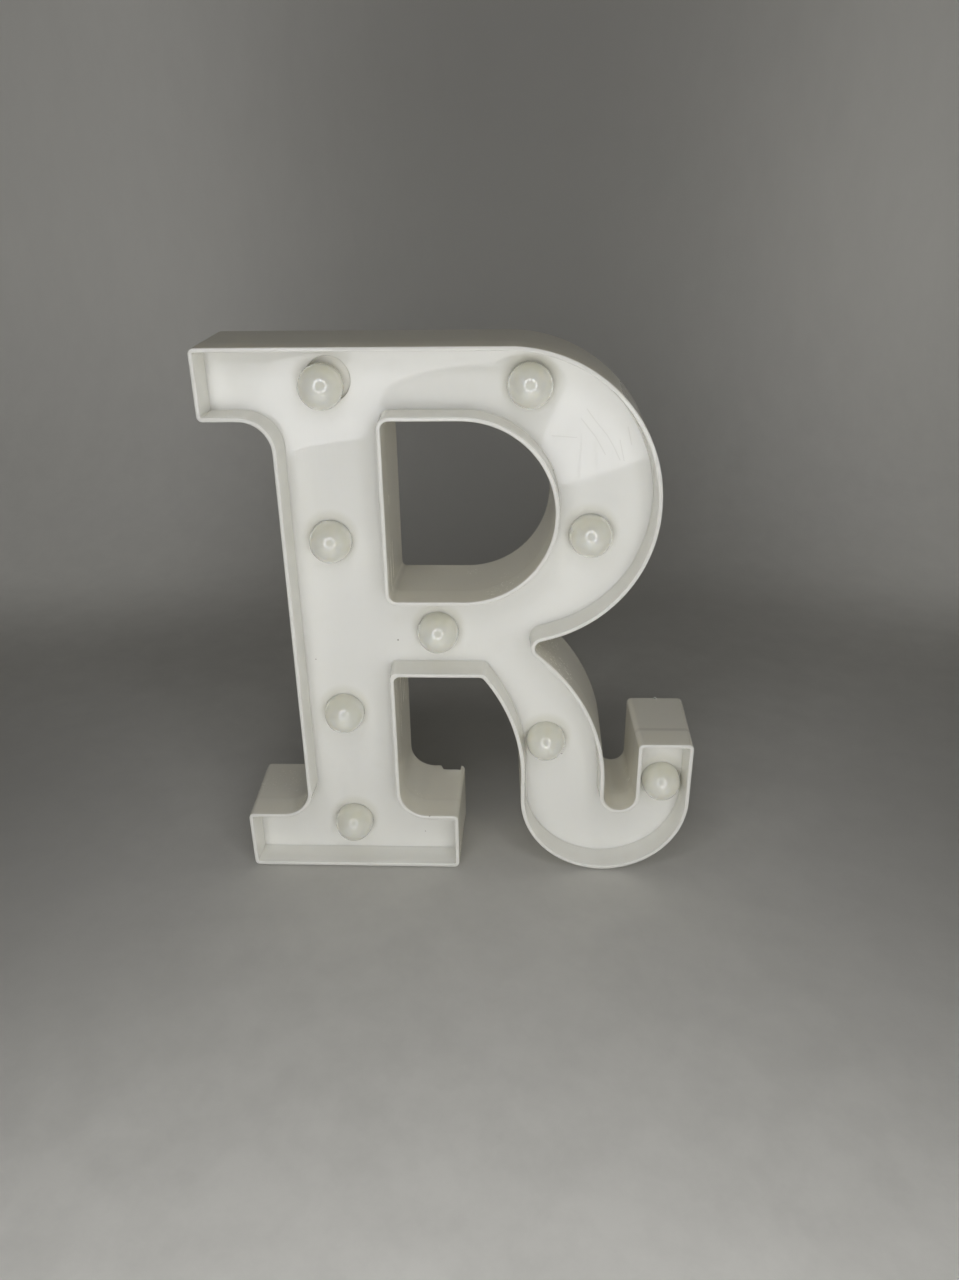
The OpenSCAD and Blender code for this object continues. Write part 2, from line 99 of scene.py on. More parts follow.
def ring(ctrl, t, marks=None):
    """Points of the outline grown by t, the same number for every t."""
    cs = parallel(ctrl, t)
    arcs, runs = sampling(ctrl)
    pts = []
    for i, (q, r, a, b, ang) in enumerate(cs):
        h = r * math.tan(abs(ang) / 2)
        s = q - a * h
        side = 1 if ang > 0 else -1
        c = s + Vector((-a.y, a.x)) * side * r
        v = s - c
        for k in range(arcs[i] + 1):
            th = ang * k / arcs[i]
            pts.append(Vector((c.x + v.x * math.cos(th) - v.y * math.sin(th),
                               c.y + v.x * math.sin(th) + v.y * math.cos(th))))
        q2, r2, ang2 = cs[(i + 1) % len(cs)][0], cs[(i + 1) % len(cs)][1], cs[(i + 1) % len(cs)][4]
        e, f = q + b * h, q2 - b * (r2 * math.tan(abs(ang2) / 2))
        where = [k / runs[i] for k in range(1, runs[i])]
        if marks and marks[0] == i:
            where = [(x - e.x) / (f.x - e.x) for x in marks[1]]
        pts += [e.lerp(f, w) for w in where]
    return pts


# ---------------------------------------------------------------------------
# Mesh helpers, all in millimetres until the mesh is made
# ---------------------------------------------------------------------------
def loft(bm, rings, closed=True):
    """Quads between rings of equal length; with closed the last ring joins the first."""
    rows = [[bm.verts.new(p) for p in r] for r in rings]
    n = len(rows[0])
    pairs = list(zip(rows, rows[1:])) + ([(rows[-1], rows[0])] if closed else [])
    for lo, hi in pairs:
        for k in range(n):
            bm.faces.new((lo[k], lo[(k + 1) % n], hi[(k + 1) % n], hi[k]))
    return rows


def lathe(bm, profile, x, z, y0=0.0, seg=96, closed=True):
    """Turns (radius, y) pairs about an axis along Y through x, z. Radius 0 makes a pole."""
    rows = []
    for r, y in profile:
        if r < 1e-6:
            rows.append([bm.verts.new((x, y + y0, z))])
        else:
            rows.append([bm.verts.new((x + r * math.cos(2 * math.pi * k / seg), y + y0,
                                       z + r * math.sin(2 * math.pi * k / seg))) for k in range(seg)])
    pairs = list(zip(rows, rows[1:])) + ([(rows[-1], rows[0])] if closed else [])
    for lo, hi in pairs:
        for k in range(seg):
            j = (k + 1) % seg
            ring4 = [lo[0] if len(lo) == 1 else lo[k], lo[0] if len(lo) == 1 else lo[j],
                     hi[0] if len(hi) == 1 else hi[j], hi[0] if len(hi) == 1 else hi[k]]
            face = list(dict.fromkeys(ring4))
            if len(face) > 2:
                bm.faces.new(face)
    return rows


def arc(cx, cy, r, a0, a1, n):
    """Points of an arc in profile space, degrees."""
    return [(cx + r * math.cos(math.radians(a0 + (a1 - a0) * k / n)),
             cy + r * math.sin(math.radians(a0 + (a1 - a0) * k / n))) for k in range(n + 1)]


def inside(poly, x, z):
    hit = False
    j = len(poly) - 1
    for i in range(len(poly)):
        (xi, zi), (xj, zj) = poly[i], poly[j]
        if (zi > z) != (zj > z) and x < (xj - xi) * (z - zi) / (zj - zi) + xi:
            hit = not hit
        j = i
    return hit


def finish_mesh(bm, name, angle=32.0, weld=0.0004):
    bmesh.ops.remove_doubles(bm, verts=bm.verts[:], dist=weld)
    bmesh.ops.holes_fill(bm, edges=[e for e in bm.edges if len(e.link_faces) == 1], sides=8)
    bmesh.ops.recalc_face_normals(bm, faces=bm.faces[:])
    for v in bm.verts:
        v.co *= MM
    for f in bm.faces:
        f.smooth = True
    for e in bm.edges:
        if len(e.link_faces) == 2 and e.calc_face_angle(0.0) > math.radians(angle):
            e.smooth = False
    mesh = bpy.data.meshes.new(name)
    bm.to_mesh(mesh)
    bm.free()
    obj = bpy.data.objects.new(name, mesh)
    bpy.context.scene.collection.objects.link(obj)
    return obj


# ---------------------------------------------------------------------------
# Shell: walls with rounded rim, recessed panel, bulb pockets, screw bosses
# ---------------------------------------------------------------------------
T_FOOT, T_TOE, T_IN = -2.08, -2.43, -1.1     # recess wall at the face, end of its fillet, hollow side


def wall_profile():
    """Section of the wall from the face panel round the rim and back edge to the hollow: t, y."""
    grow = lambda y: 1.0 * (y - Y_FRONT) / (Y_BACK - Y_FRONT)
    f = T_FOOT - T_TOE
    sec = arc(T_TOE, Y_PANEL - f, f, 90, 0, 5)
    top = (-1.58, -19.12)
    sec += [(T_FOOT + (top[0] - T_FOOT) * k, Y_PANEL - f + (top[1] - Y_PANEL + f) * k) for k in (0.2, 0.4, 0.6, 0.8)]
    sec += arc(-1.2, -19.12, 0.38, 180, 270, 5)
    sec += [(-0.95, -19.5), (-0.7, -19.5)]
    sec += arc(-0.46, -19.04, 0.46, -90, 0, 6)
    sec += [(grow(y), y) for y in (-18.2, -16.0, -12.0, -8.0, -4.0, 1.0, 6.0, 11.0, 15.4, 17.6)]
    sec += arc(0.6, 19.1, 0.4, 0, 90, 4)
    sec += [(-0.85, 19.5), (T_IN, 19.2), (T_IN, 15.6), (T_IN, 13.0), (T_IN, 6.0), (T_IN, -2.0), (T_IN, Y_PANEL_BACK)]
    return sec


def notch_depth(x, z):
    """Back limit of the wall along the top of the foot, where the cover is prised off."""
    if z < 24 or z > 30:
        return Y_BACK
    if -12.0 <= x <= -4.2:
        return 15.6
    if -13.4 < x < -12.0:
        return 15.6 + (Y_BACK - 15.6) * (-12.0 - x) / 1.4
    return Y_BACK


def wall_rings(ctrl, sign, rough):
    rings = []
    marks = (NOTCH_EDGE, NOTCH_X) if ctrl is LETTER else None
    for t, y in wall_profile():
        pts = ring(ctrl, sign * t, marks)
        row = []
        for p in pts:
            x, z = p.x, p.y
            z = max(0.0, z - 0.35 * max(0.0, 1.0 - z / 1.5))
            yy = y
            if marks:
                yy = min(y, notch_depth(x, z))
            if y < -18.9:
                wob = noise.noise(Vector((x * 0.16, z * 0.16, 3.0 + sign)))
                fine = noise.noise(Vector((x * 0.9, z * 0.9, 9.0)))
                yy += rough * (0.05 * wob + 0.035 * fine)
                if rough > 2:
                    flash = max(0.0, noise.noise(Vector((x * 0.45, z * 0.45, 5.0))) - 0.12)
                    x += 0.5 * flash * noise.noise(Vector((x * 1.3, z * 1.3, 1.0)))
                    z += 0.5 * flash * noise.noise(Vector((x * 1.3, z * 1.3, 7.0)))
            row.append(Vector((x, yy, z)))
        rings.append(row)
    return rings


def circle(x, z, r, seg=72):
    return [(x + r * math.cos(2 * math.pi * k / seg), z + r * math.sin(2 * math.pi * k / seg)) for k in range(seg)]


def sheet(bm, y, loops, keep):
    """Triangulated flat sheet between closed loops, kept where keep(x, z) holds."""
    verts, edges = [], []
    for loop in loops:
        n0 = len(verts)
        verts += [Vector(p) for p in loop]
        edges += [(n0 + k, n0 + (k + 1) % len(loop)) for k in range(len(loop))]
    out = delaunay_2d_cdt(verts, edges, [], 0, 1e-6)
    made = [bm.verts.new((v.x, y, v.y)) for v in out[0]]
    for f in out[2]:
        cx = sum(out[0][i].x for i in f) / len(f)
        cz = sum(out[0][i].y for i in f) / len(f)
        if keep(cx, cz):
            bm.faces.new([made[i] for i in f])
    for v in [v for v in made if not v.link_faces]:
        bm.verts.remove(v)


def build_shell():
    """One closed skin: face panel, recess walls, rim, outer walls, hollow side and bulb pockets."""
    bm = bmesh.new()
    outer, inner = wall_rings(LETTER, 1, 1.0), wall_rings(COUNTER, -1, 2.2)
    zone = bm.verts.layers.float.new("outer_wall")
    profile = wall_profile()
    for rows in (loft(bm, outer, closed=False), loft(bm, inner, closed=False)):
        for (t, y), row in zip(profile, rows):
            for v in row:
                v[zone] = 1.0 if t > -0.2 and y > -19.3 else 0.0
    neck, cup = 4.3, 9.2
    bores = {key: {"top_left": 8.22, "leg": 7.65}.get(key, 8.04) for key in BULBS}
    lips = {key: {"top_left": 8.5, "leg": 7.68}.get(key, 8.07) for key in BULBS}
    seats = {key: (x + (0.38 if key == "leg" else 0.0), z) for key, (x, z) in BULBS.items()}
    for y, row in ((Y_PANEL, 0), (Y_PANEL_BACK, -1)):
        edge = [(p.x, p.z) for p in outer[row]]
        hole = [(p.x, p.z) for p in inner[row]]
        radii = {key: lips[key] if row == 0 else cup for key in seats}
        sheet(bm, y, [edge, hole] + [circle(x, z, radii[key]) for key, (x, z) in seats.items()],
              lambda px, pz: inside(edge, px, pz) and not inside(hole, px, pz)
              and all(math.hypot(px - x, pz - z) > radii[key] * 0.998 for key, (x, z) in seats.items()))
    for key, (x, z) in seats.items():
        pocket = bores[key]
        lead = [(pocket + (lips[key] - pocket) * (1 - math.sin(math.radians(a))), Y_PANEL + 0.30 * (1 - math.cos(math.radians(a))))
                for a in range(0, 91, 15)]
        base = Y_PANEL + 1.5 if key == "top_left" else Y_FLOOR
        sec = lead + [(pocket, base - 0.6), (pocket - 0.18, base - 0.18), (pocket - 0.6, base), (neck, base),
                      (neck, Y_FLOOR + FLOOR_T), (cup, Y_FLOOR + FLOOR_T), (cup, Y_PANEL_BACK)]
        rows = lathe(bm, sec, x, z, seg=72, closed=False)
        if key in SLIP:
            # the neck's hole follows a cap that stands askew
            for row in rows[len(lead) + 3:len(lead) + 5]:
                for v in row:
                    v.co += Vector((SLIP[key][0], 0.0, SLIP[key][2]))
    for x, z in BOSSES:
        lathe(bm, [(1.1, -3.0), (1.1, Y_PANEL_BACK + 0.02), (3.2, Y_PANEL_BACK + 0.02), (3.2, 17.4), (1.1, 17.4)], x, z, seg=32)
    # burr left by the mould on the back edge of the tail
    lathe(bm, [(0.0, 18.2), (0.5, 18.4), (0.62, 18.9), (0.5, 19.3), (0.0, 19.45)], 82.7, 64.35, seg=16, closed=False)
    return finish_mesh(bm, "shell_body")


shell = build_shell()
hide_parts("front_shell")
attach(shell, "letter")


# ---------------------------------------------------------------------------
# Bulb caps: hollow milky domes on a short neck
# ---------------------------------------------------------------------------
def build_bulb(name, x, z, slip, seed):
    bm = bmesh.new()
    r, wall, end = 8.2, 1.2, Y_FLOOR + FLOOR_T
    dome_y, skirt_y = end - 9.4, end - 6.8
    sec = [(2.55, end), (4.0, end), (4.2, end - 0.2), (4.2, skirt_y + 0.55)]
    sec += [(7.75, skirt_y + 0.12)] + arc(r - 0.3, skirt_y - 0.3, 0.3, 70, 0, 4)
    reach = {"top_left": 1.0, "top_right": 1.12}.get(name, 1.15)
    dome = [(px, dome_y + (py - dome_y) * reach) for px, py in arc(0, dome_y, r, 0, -90, 30)]
    sec += dome[:-1] + [(0.0, dome_y - r * reach)]
    rows = lathe(bm, sec, x + slip[0], z + slip[2], slip[1], closed=False)
    inner = [(px, dome_y + (py - dome_y) * reach) for px, py in arc(0, dome_y, r - wall, -90, 0, 18)]
    inner = [(0.0, dome_y - (r - wall) * reach)] + inner[1:] + [(r - wall, skirt_y - 0.9), (2.55, skirt_y - 0.4), (2.55, end)]
    lathe(bm, inner, x + slip[0], z + slip[2], slip[1], closed=False)
    for v in bm.verts:
        if v.co.y < skirt_y + slip[1] - 1.0:
            c = v.co
            n = noise.noise(Vector((c.x * 0.22 + seed, c.y * 0.22, c.z * 0.22)))
            d = Vector((c.x - x - slip[0], c.y - dome_y - slip[1], c.z - z - slip[2]))
            v.co += d.normalized() * 0.05 * n
    # cap_up and cap_edge drive painted shade on the caps' tops and painted light at their edges
    up, edge = bm.verts.layers.float.new("cap_up"), bm.verts.layers.float.new("cap_edge")
    for v in bm.verts:
        dx, dz = v.co.x - x - slip[0], v.co.z - z - slip[2]
        v[up], v[edge] = dz / r, math.hypot(dx, dz) / r
    return finish_mesh(bm, "cap_" + name, angle=40)


caps = []
for i, (key, (bx, bz)) in enumerate(BULBS.items()):
    cap = build_bulb(key, bx, bz, SLIP.get(key, (0.0, 0.0, 0.0)), 4.7 * i)
    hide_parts("bulb_" + key)
    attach(cap, "letter")
    caps.append(cap)

# ---------------------------------------------------------------------------
# Materials, all procedural, in object coordinates (metres)
# ---------------------------------------------------------------------------
class Look:
    """A material with one principled shader and short ways to add nodes to it."""

    def __init__(self, name, color, rough, **values):
        self.mat = bpy.data.materials.new(name)
        self.mat.use_nodes = True
        self.tree = self.mat.node_tree
        self.bsdf = next(n for n in self.tree.nodes if n.type == "BSDF_PRINCIPLED")
        self.bsdf.inputs["Base Color"].default_value = (*color, 1.0)
        self.bsdf.inputs["Roughness"].default_value = rough
        for key, v in values.items():
            self.bsdf.inputs[key.replace("_", " ")].default_value = v
        self.mat.diffuse_color = (*color, 1.0)
        self.xyz = self.node("ShaderNodeTexCoord").outputs["Object"]

    def node(self, kind, props=None, ins=None):
        n = self.tree.nodes.new(kind)
        for k, v in (props or {}).items():
            setattr(n, k, v)
        for k, v in (ins or {}).items():
            if isinstance(v, bpy.types.NodeSocket):
                self.tree.links.new(v, n.inputs[k])
            else:
                n.inputs[k].default_value = v
        return n

    def to(self, socket, name):
        self.tree.links.new(socket, self.bsdf.inputs[name])

    def noise(self, scale, detail=2.0, rough=0.5, vec=None):
        return self.node("ShaderNodeTexNoise", None, {"Vector": vec or self.xyz, "Scale": scale, "Detail": detail,
                                                      "Roughness": rough}).outputs["Fac"]

    def span(self, fac, lo, hi, a=0.0, b=1.0, smooth=False):
        return self.node("ShaderNodeMapRange", {"interpolation_type": "SMOOTHSTEP" if smooth else "LINEAR"},
                         {"Value": fac, "From Min": lo, "From Max": hi, "To Min": a, "To Max": b}).outputs["Result"]

    def calc(self, op, a, b=0.0, c=0.0):
        return self.node("ShaderNodeMath", {"operation": op}, {0: a, 1: b, 2: c}).outputs[0]

    def mix(self, fac, a, b):
        n = self.node("ShaderNodeMix", {"data_type": "RGBA"}, {0: fac})
        for idx, v in ((6, a), (7, b)):
            if isinstance(v, bpy.types.NodeSocket):
                self.tree.links.new(v, n.inputs[idx])
            else:
                n.inputs[idx].default_value = (*v, 1.0)
        return n.outputs[2]

    def stretched(self, scale, turn=(0.0, 0.0, 0.0)):
        return self.node("ShaderNodeMapping", None, {"Vector": self.xyz, "Scale": scale, "Rotation": turn}).outputs[0]

    def near(self, point, lo, hi):
        """1 close to a point given in millimetres, 0 far from it."""
        d = self.node("ShaderNodeVectorMath", {"operation": "DISTANCE"},
                      {0: self.xyz, 1: tuple(v * MM for v in point)}).outputs["Value"]
        return self.span(d, lo * MM, hi * MM, 1.0, 0.0, True)

    def stroke(self, x, z, a, b, width):
        """1 on a straight mark from a to b in the plane of the face, millimetres."""
        d = Vector(b) - Vector(a)
        size = d.length
        u = d / size
        side = self.calc("MULTIPLY_ADD", z, u.x, (a[0] * u.y - a[1] * u.x) * MM)
        side = self.calc("ABSOLUTE", self.calc("MULTIPLY_ADD", x, -u.y, side))
        along = self.calc("MULTIPLY_ADD", z, u.y, -(a[0] * u.x + a[1] * u.y) * MM)
        along = self.calc("MULTIPLY_ADD", x, u.x, along)
        wide = self.span(side, width * 0.4 * MM, width * MM, 1.0, 0.0)
        ends = self.calc("MULTIPLY", self.span(along, -0.0002, 0.0), self.span(along, size * MM, (size + 0.2) * MM, 1.0, 0.0))
        return self.calc("MULTIPLY", wide, ends)

    def axes(self):
        s = self.node("ShaderNodeSeparateXYZ", None, {0: self.xyz})
        return s.outputs[0], s.outputs[1], s.outputs[2]

    def bump(self, height, strength, distance, under=None):
        ins = {"Height": height, "Strength": strength, "Distance": distance}
        if under is not None:
            ins["Normal"] = under
        return self.node("ShaderNodeBump", None, ins).outputs[0]


def scratches(look, turn, across, along, lo, hi):
    """Fine straight lines in the plane of the face: 1 on a line, 0 elsewhere."""
    vec = look.stretched((across, across, along), (0.0, turn, 0.0))
    return look.span(look.noise(1.0, 1.0, 0.4, vec), lo, hi)


def shell_look():
    k = Look("shell_plastic", (0.795, 0.79, 0.735), 0.06, Specular_IOR_Level=0.46, IOR=1.5,
             Subsurface_Weight=0.7, Subsurface_Scale=0.0035)
    k.bsdf.inputs["Subsurface Radius"].default_value = (1.0, 0.97, 0.92)
    x, y, z = k.axes()
    cloud = k.noise(14.0, 3.0, 0.55)
    col = k.mix(k.span(cloud, 0.3, 0.7), (0.79, 0.785, 0.728), (0.802, 0.797, 0.743))
    # painted shade: the outer walls are a little darker and warmer, most of all behind the face, where the hollow
    # behind passes no light through the plastic
    wall = k.node("ShaderNodeAttribute", {"attribute_name": "outer_wall"}).outputs["Fac"]
    wall_shade = k.calc("MULTIPLY", wall, k.span(y, -0.0094, -0.0058, 0.72, 1.0, True))
    col = k.mix(wall_shade, col, (0.765, 0.738, 0.632))
    # painted light: the thin recess walls are made paler, as if they pass some light
    pale = k.calc("MULTIPLY", k.span(y, -0.0188, -0.0180), k.span(y, -0.0094, -0.0084, 1.0, 0.0))
    pale = k.calc("MULTIPLY", pale, k.calc("SUBTRACT", 1.0, wall))
    col = k.mix(k.calc("MULTIPLY", pale, 0.45), col, (0.88, 0.872, 0.805))
    # painted shade: the rim is made a little less white than the face
    rim_shade = k.span(y, -0.0192, -0.0186, 0.45, 0.0, True)
    col = k.mix(rim_shade, col, (0.71, 0.70, 0.635))
    # painted shade: the flat top is darkened and browned, and the same mask makes it rougher
    top_shade_dull = k.calc("MULTIPLY", wall, k.span(z, 0.196, 0.2205, 0.0, 0.5, True))
    col = k.mix(top_shade_dull, col, (0.57, 0.54, 0.43))
    # painted shade: a faint dark line on the outer walls where the face panel meets them inside, strongest on the tail
    panel_shadow_line = k.calc("MULTIPLY", k.span(y, -0.0088, -0.0076, 0.0, 1.0, True), k.span(y, -0.0070, -0.0056, 1.0, 0.0, True))
    panel_shadow_line = k.calc("MULTIPLY", k.calc("MULTIPLY", panel_shadow_line, wall), k.calc("ADD", 0.06, k.calc("MULTIPLY", k.near((82.5, -7.2, 64.5), 8.0, 15.0), 0.22)))
    col = k.mix(panel_shadow_line, col, (0.42, 0.40, 0.34))
    # painted shade: a soft dark crescent above each cap
    face = k.calc("MULTIPLY", k.span(y, -0.0090, -0.0088), k.span(y, -0.0079, -0.0077, 1.0, 0.0))
    shade = None
    for key, (bx, bz) in BULBS.items():
        slip = SLIP.get(key, (0.0, 0.0, 0.0))
        one = k.near((bx + slip[0], -8.1, bz + slip[2] + 1.5), 8.0, 11.8)
        shade = one if shade is None else k.calc("MAXIMUM", shade, one)
    col = k.mix(k.calc("MULTIPLY", k.calc("MULTIPLY", shade, face), 0.24), col, (0.46, 0.435, 0.30))
    # painted light: the open pocket beside the askew cap is lightened
    pocket_light = k.calc("MULTIPLY", k.near((-47.4, -6.6, 207.9), 8.7, 9.0), k.span(y, -0.0079, -0.0077))
    col = k.mix(pocket_light, col, (0.86, 0.845, 0.77))
    # grime in a few patches and single specks
    patch = k.span(k.noise(55.0, 4.0, 0.6), 0.60, 0.78, 0.0, 0.10)
    col = k.mix(patch, col, (0.60, 0.575, 0.50))
    cell = k.node("ShaderNodeTexVoronoi", None, {"Vector": k.xyz, "Scale": 130.0})
    dot = k.span(cell.outputs["Distance"], 0.015, 0.045, 1.0, 0.0)
    pick = k.span(k.node("ShaderNodeSeparateColor", None, {0: cell.outputs["Color"]}).outputs[0], 0.955, 0.965)
    col = k.mix(k.calc("MULTIPLY", k.calc("MULTIPLY", dot, pick), 0.75), col, (0.20, 0.17, 0.13))
    for p, r in SPECKS:
        col = k.mix(k.calc("MULTIPLY", k.near(p, r * 0.45, r), 0.8), col, (0.17, 0.13, 0.09))
    drawn = None
    for run in SCRATCHES:
        for a, b in zip(run, run[1:]):
            one = k.stroke(x, z, a, b, 0.24)
            drawn = one if drawn is None else k.calc("MAXIMUM", drawn, one)
    drawn = k.calc("MULTIPLY", drawn, face)
    col = k.mix(k.calc("MULTIPLY", drawn, 0.16), col, (0.40, 0.385, 0.33))
    k.to(col, "Base Color")
    # scratches
    a = scratches(k, 0.35, 900.0, 26.0, 0.655, 0.70)
    b = scratches(k, -0.9, 800.0, 22.0, 0.66, 0.71)
    c = scratches(k, 1.25, 1100.0, 34.0, 0.665, 0.71)
    few = k.span(k.noise(23.0, 2.0), 0.48, 0.70, 0.05, 0.6)
    scuffed = k.near((47.0, -8.1, 187.0), 4.0, 24.0)
    where = k.calc("MAXIMUM", few, scuffed)
    lines = k.calc("MULTIPLY", k.calc("MAXIMUM", k.calc("MAXIMUM", a, b), c), where)
    lines = k.calc("MAXIMUM", lines, drawn)
    rough = k.calc("ADD", k.span(k.noise(40.0, 4.0, 0.6), 0.3, 0.75, 0.02, 0.045), k.calc("MULTIPLY", lines, 0.2))
    rough = k.calc("ADD", rough, k.calc("MULTIPLY", wall, 0.2))
    k.to(k.calc("ADD", rough, k.calc("MULTIPLY", top_shade_dull, 0.4)), "Roughness")
    n = k.bump(k.noise(28.0, 2.0, 0.5), 0.06, 0.0012)
    n = k.bump(k.noise(700.0, 2.0, 0.5), 0.03, 0.00006, n)
    n = k.bump(lines, 0.35, -0.00004, n)
    k.to(n, "Normal")
    return k.mat


def bulb_look():
    k = Look("bulb_plastic", (0.775, 0.767, 0.68), 0.04, Specular_IOR_Level=0.7, IOR=1.5,
             Subsurface_Weight=0.75, Subsurface_Scale=0.003, Coat_Weight=1.0, Coat_Roughness=0.02, Coat_IOR=1.55)
    k.bsdf.inputs["Subsurface Radius"].default_value = (1.0, 0.9, 0.7)
    up = k.node("ShaderNodeAttribute", {"attribute_name": "cap_up"}).outputs["Fac"]
    edge = k.node("ShaderNodeAttribute", {"attribute_name": "cap_edge"}).outputs["Fac"]
    col = k.mix(k.span(k.noise(70.0, 3.0), 0.3, 0.7), (0.742, 0.733, 0.646), (0.767, 0.758, 0.671))
    # painted light: the caps are lightened and warmed towards their edges
    col = k.mix(k.span(edge, 0.55, 1.0, 0.0, 0.8, True), col, (0.80, 0.78, 0.655))
    col = k.mix(k.span(edge, 0.9, 1.0, 0.0, 0.7, True), col, (0.90, 0.88, 0.76))
    # painted shade: the caps are darker towards their top
    col = k.mix(k.span(up, 0.35, 1.0, 0.0, 0.75, True), col, (0.70, 0.685, 0.565))
    cell = k.node("ShaderNodeTexVoronoi", None, {"Vector": k.xyz, "Scale": 260.0})
    dot = k.span(cell.outputs["Distance"], 0.02, 0.06, 1.0, 0.0)
    pick = k.span(k.node("ShaderNodeSeparateColor", None, {0: cell.outputs["Color"]}).outputs[0], 0.95, 0.96)
    col = k.mix(k.calc("MULTIPLY", k.calc("MULTIPLY", dot, pick), 0.6), col, (0.25, 0.20, 0.14))
    k.to(col, "Base Color")
    k.to(k.span(k.noise(120.0, 4.0, 0.6), 0.3, 0.75, 0.035, 0.055), "Roughness")
    n = k.bump(k.noise(160.0, 2.0), 0.015, 0.0006)
    n = k.bump(scratches(k, 0.6, 1500.0, 60.0, 0.70, 0.74), 0.12, -0.00002, n)
    k.to(n, "Normal")
    return k.mat


def textured_look(name, color, rough, grain, depth):
    k = Look(name, color, rough, Specular_IOR_Level=0.45)
    low = tuple(c * 0.965 for c in color)
    k.to(k.mix(k.span(k.noise(35.0, 4.0, 0.6), 0.3, 0.7), low, color), "Base Color")
    k.to(k.span(k.noise(60.0, 4.0, 0.6), 0.3, 0.75, rough - 0.06, rough + 0.08), "Roughness")
    n = k.bump(k.noise(grain, 3.0, 0.6), 0.35, depth)
    n = k.bump(scratches(k, 0.5, 900.0, 28.0, 0.67, 0.72), 0.3, -0.00003, n)
    k.to(n, "Normal")
    return k.mat


def metal_look(name, color, rough, grain):
    k = Look(name, color, rough, Metallic=1.0)
    low = tuple(c * 0.82 for c in color)
    k.to(k.mix(k.span(k.noise(300.0, 4.0, 0.6), 0.35, 0.7), low, color), "Base Color")
    k.to(k.span(k.noise(500.0, 3.0, 0.6), 0.3, 0.75, rough - 0.07, rough + 0.12), "Roughness")
    k.to(k.bump(k.noise(1.0, 3.0, 0.5, k.stretched((grain, grain, grain * 0.06))), 0.2, 0.00003), "Normal")
    return k.mat


def lamp_look():
    k = Look("lamp_epoxy", (0.86, 0.80, 0.56), 0.12, IOR=1.5, Subsurface_Weight=0.4, Subsurface_Scale=0.002)
    x, y, z = k.axes()
    # tinned leads leave the back of each lamp
    lead = k.span(y, -0.0002, 0.0)
    k.to(k.mix(lead, k.mix(k.noise(300.0), (0.82, 0.76, 0.52), (0.88, 0.83, 0.60)), (0.62, 0.61, 0.58)), "Base Color")
    k.to(lead, "Metallic")
    k.to(k.bump(k.noise(500.0), 0.05, 0.0002), "Normal")
    return k.mat


def wire_look(name, color):
    k = Look(name, color, 0.42, Specular_IOR_Level=0.45)
    k.to(k.mix(k.noise(180.0, 3.0), tuple(c * 0.85 for c in color), color), "Base Color")
    k.to(k.bump(k.noise(900.0, 2.0), 0.08, 0.0001), "Normal")
    return k.mat


SCRATCHES = [
    [(45.9, 197.0), (48.9, 193.0), (53.5, 187.6), (56.2, 183.2), (58.7, 178.3)],
    [(58.3, 185.7), (59.2, 182.1), (60.2, 178.0)],
    [(33.5, 187.4), (42.6, 186.7)],
    [(61.0, 190.5), (62.6, 184.0)],
    [(44.0, 193.5), (49.5, 186.8), (53.2, 180.4)],
]
SPECKS = [((-15.7, -19.4, 27.4), 0.7), ((-26.8, -8.1, 104.9), 0.45), ((34.2, -8.1, 174.6), 0.4),
          ((-61.0, -8.1, 96.0), 0.3), ((40.5, -8.1, 52.0), 0.35), ((-19.0, -8.1, 11.0), 0.3)]


def sleeve_look(name, z_flat, z_nub):
    """Film sleeve with a metallic band at the nub's end; bare metal at both ends."""
    k = Look(name, (0.05, 0.055, 0.06), 0.3, Specular_IOR_Level=0.5)
    x, y, z = k.axes()
    s = k.span(z, z_flat * MM, z_nub * MM, 0.0, 50.5)
    band = k.span(s, 35.0, 35.1)
    line = k.calc("MULTIPLY", k.span(s, 34.2, 34.3), k.span(s, 35.0, 35.1, 1.0, 0.0))
    ends = k.calc("MAXIMUM", k.span(s, 0.80, 0.95, 1.0, 0.0), k.span(s, 48.5, 48.7))
    col = k.mix(k.noise(120.0, 3.0), (0.045, 0.05, 0.056), (0.06, 0.066, 0.072))
    col = k.mix(band, col, (0.72, 0.41, 0.20))
    col = k.mix(line, col, (0.75, 0.74, 0.70))
    col = k.mix(ends, col, (0.66, 0.65, 0.62))
    k.to(col, "Base Color")
    k.to(k.calc("MAXIMUM", k.calc("MULTIPLY", band, 0.85), ends), "Metallic")
    k.to(k.span(k.noise(90.0, 4.0, 0.6), 0.3, 0.75, 0.22, 0.40), "Roughness")
    k.to(k.bump(k.noise(220.0, 2.0), 0.06, 0.0003), "Normal")
    return k.mat


shell.data.materials.append(shell_look())
milk = bulb_look()
for cap in caps:
    cap.data.materials.append(milk)

